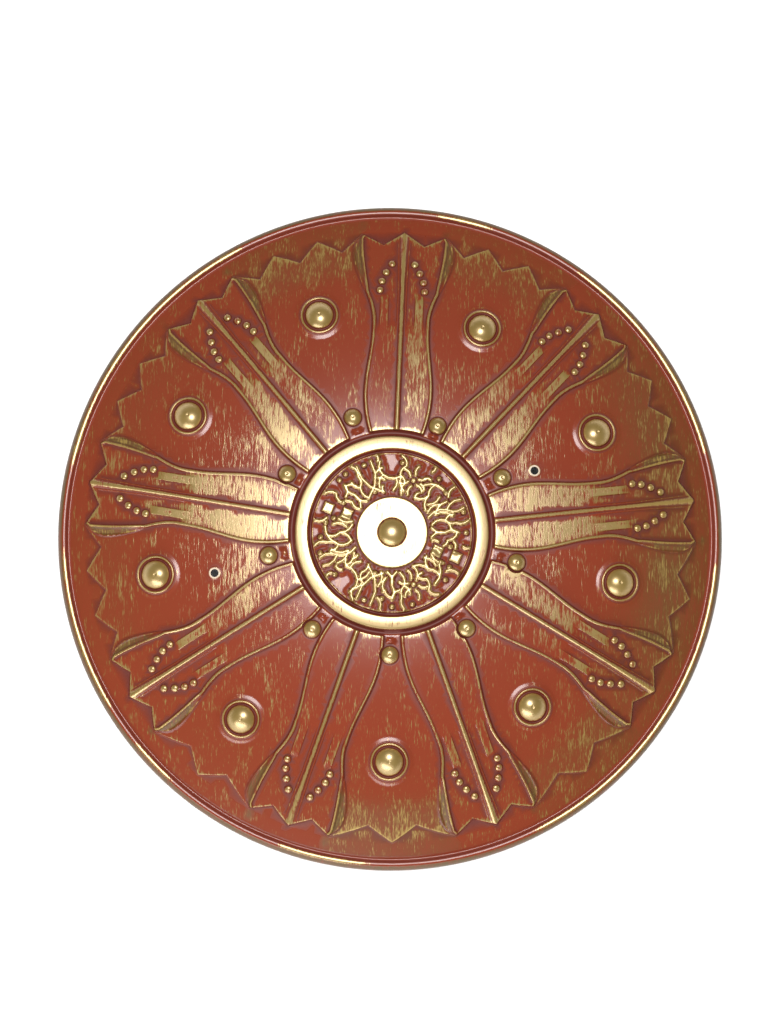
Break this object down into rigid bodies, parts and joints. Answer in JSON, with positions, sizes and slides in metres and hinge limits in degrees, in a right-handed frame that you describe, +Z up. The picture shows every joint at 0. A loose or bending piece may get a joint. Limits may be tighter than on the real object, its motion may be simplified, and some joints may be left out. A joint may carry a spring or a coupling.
{
  "type": "round costume shield",
  "caption": "Domed round costume shield vacuum formed from one plastic sheet: rays, bosses, pearls, toothed plate, medallion ring with a figure frieze, beaded rim and strap holes.",
  "frame": {"origin": "on the floor under the middle of the shield, in the plane of the trimmed edge of its rim", "axes": "+Z up out of the face, +X to the right and +Y to the top of the pattern as the picture shows it"},
  "size_m": [0.5, 0.5, 0.0701],
  "materials": {
    "painted_plastic": "glossy red sheet, gold paint dry-brushed over the relief"
  },
  "bodies": {
    "root": {"shield_shell": "painted_plastic"}
  },
  "joints": []
}
